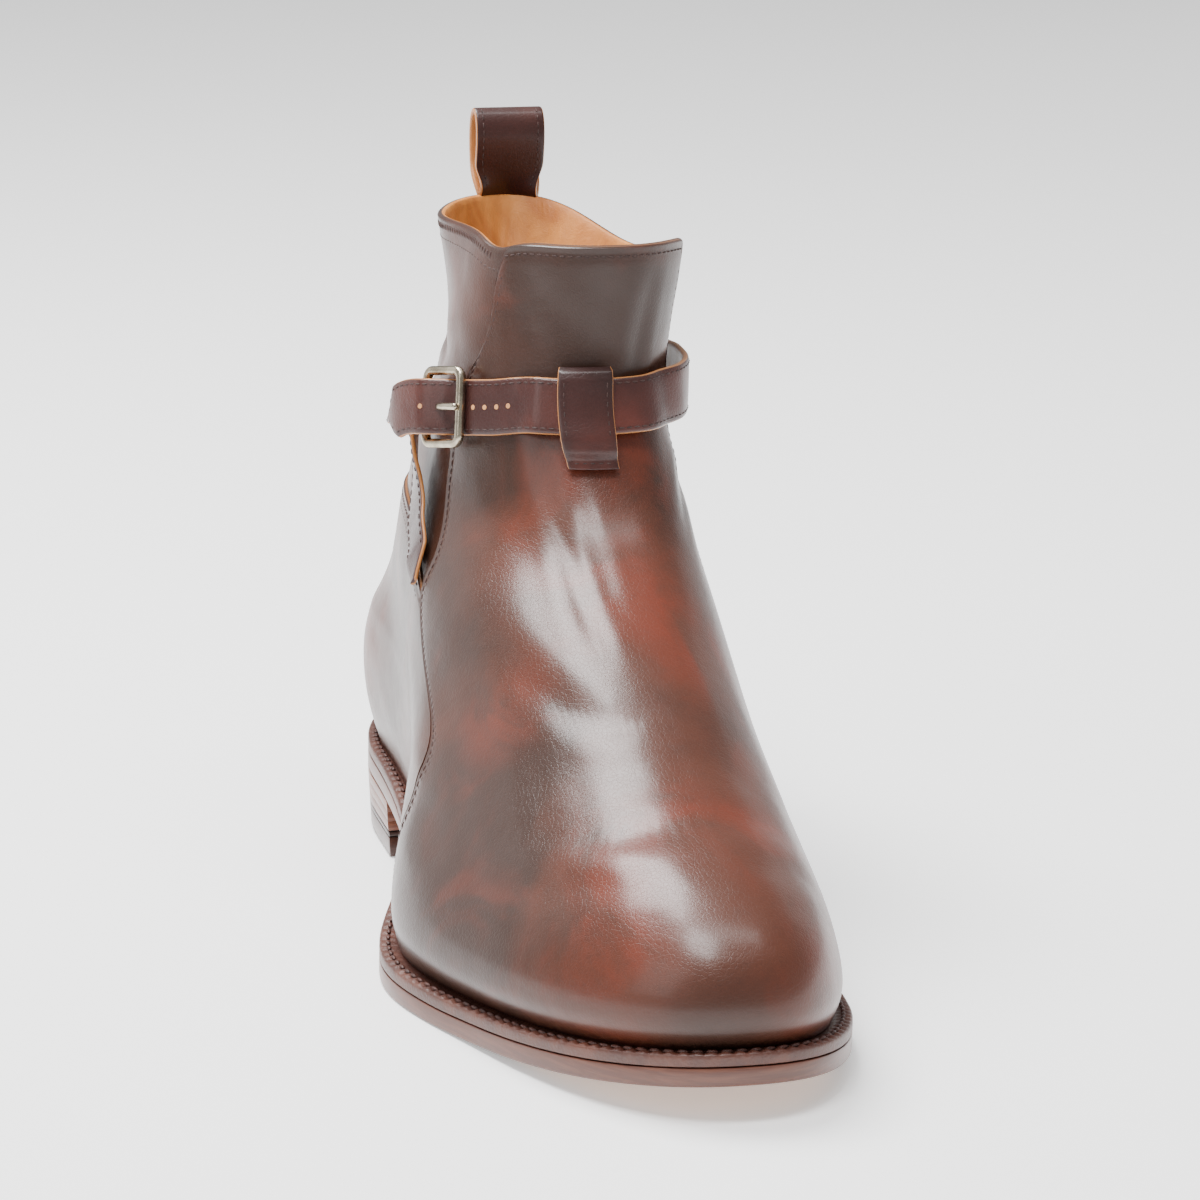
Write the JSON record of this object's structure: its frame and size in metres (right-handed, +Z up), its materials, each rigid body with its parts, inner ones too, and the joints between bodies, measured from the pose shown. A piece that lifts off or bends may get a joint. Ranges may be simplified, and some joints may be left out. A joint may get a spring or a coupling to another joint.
{
  "type": "jodhpur boot",
  "caption": "Right ankle boot in burnished leather with a wrapped ankle strap and buckle, rounded toe, welted leather sole and stacked heel; open at the collar, with a pull loop.",
  "frame": {"origin": "on the floor, under the middle of the heel's leather top piece", "axes": "+Z up, -Y towards the toe, +X towards the inner side of the foot; the boot stands on the plane Z = 0"},
  "size_m": [0.1124, 0.2843, 0.2065],
  "materials": {
    "upper_leather": "burnished, glossy",
    "strap_leather": "burnished",
    "sole_edge": "waxed edge",
    "welt_leather": "waxed, satin",
    "dark_lift": "dark stained",
    "top_leather": "natural, matt",
    "rubber": "matt",
    "insole_leather": "natural, matt",
    "brass": "antique, polished"
  },
  "bodies": {
    "root": {"outsole": "sole_edge", "welt": "welt_leather", "insole": "insole_leather", "heel_stack": "sole_edge", "heel_dark_lift": "dark_lift", "heel_top_leather": "top_leather", "heel_top_rubber": "rubber", "upper": "upper_leather", "long_strap": "strap_leather", "buckle_strap": "strap_leather", "keeper_loop": "strap_leather", "pull_loop": "strap_leather", "buckle_frame": "brass", "buckle_prong": "brass"}
  },
  "joints": []
}
